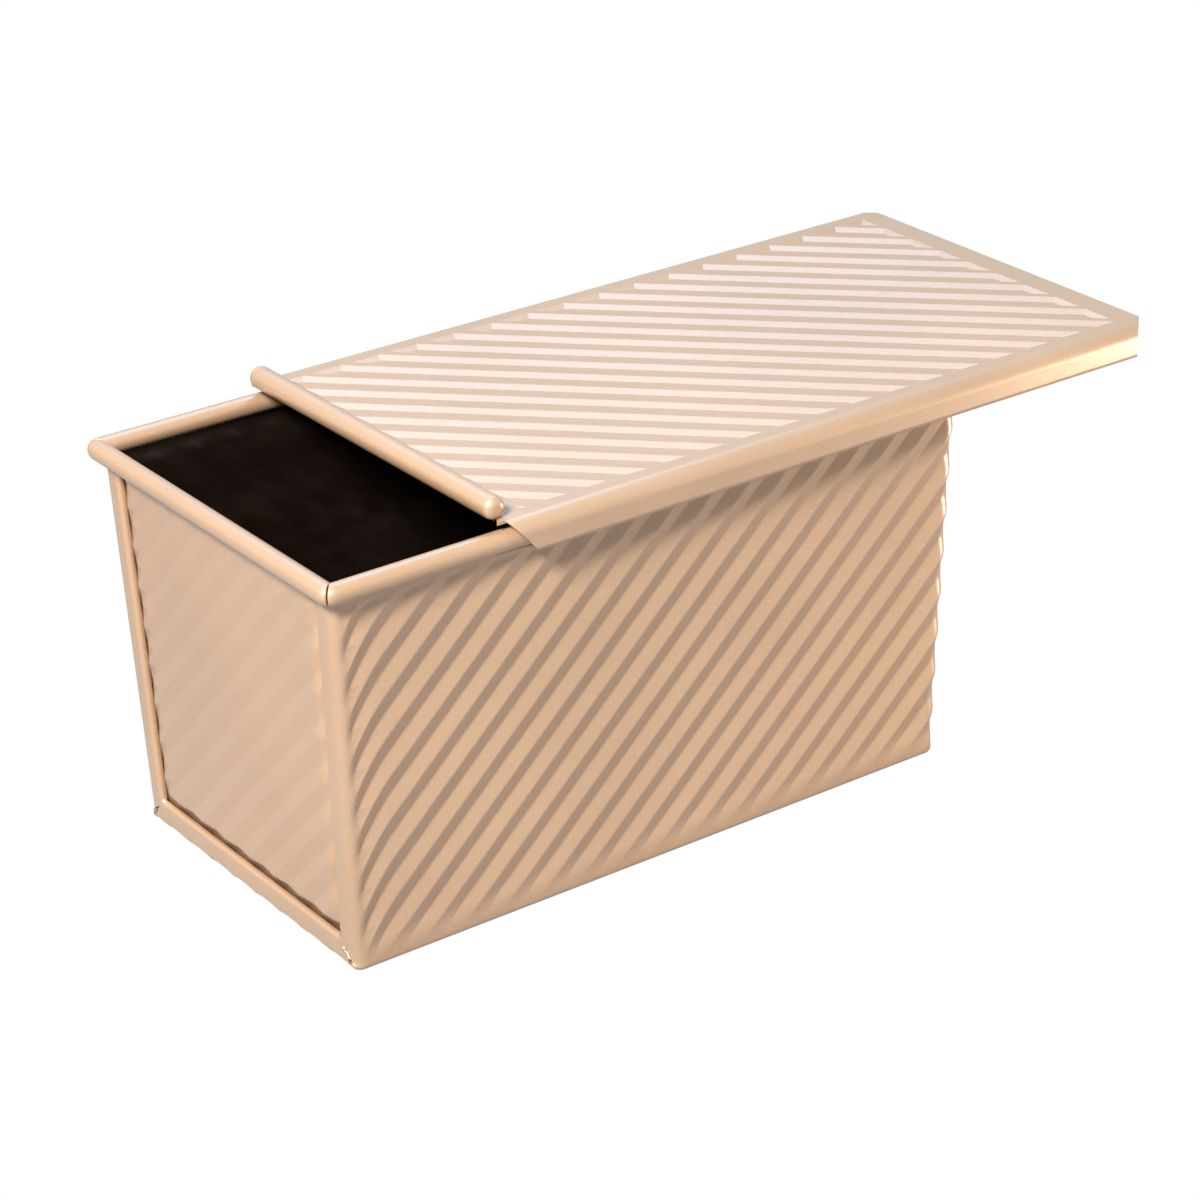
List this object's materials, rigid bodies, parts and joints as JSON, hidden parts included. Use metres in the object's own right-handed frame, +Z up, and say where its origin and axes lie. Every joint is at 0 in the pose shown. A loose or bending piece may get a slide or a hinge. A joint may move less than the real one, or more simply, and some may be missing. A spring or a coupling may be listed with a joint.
{
  "type": "pullman loaf pan",
  "caption": "Rectangular folded-metal bread pan with diagonal pressed ribs, a wire-rolled rim and a ribbed lid that slides along the rim on wrapped side rails.",
  "frame": {"origin": "centre of the pan's flat base, on the surface that it stands on", "axes": "+X along the pan, the way the lid slides open; +Y across the pan; +Z up"},
  "size_m": [0.2775, 0.128, 0.1248],
  "materials": {
    "coated_sheet": "satin champagne-gold non-stick coating on aluminised steel",
    "steel_wire": "plain drawn steel wire"
  },
  "bodies": {
    "pan": {"trough": "coated_sheet", "near_end_panel": "coated_sheet", "far_end_panel": "coated_sheet", "rim_wire": "steel_wire"},
    "lid": {"lid_plate": "coated_sheet", "lid_wire": "steel_wire"}
  },
  "joints": [
    {"name": "lid_slide", "type": "slide", "parent": "pan", "child": "lid", "axis": [1, 0, 0], "range_m": [-0.059, 0.145]}
  ]
}
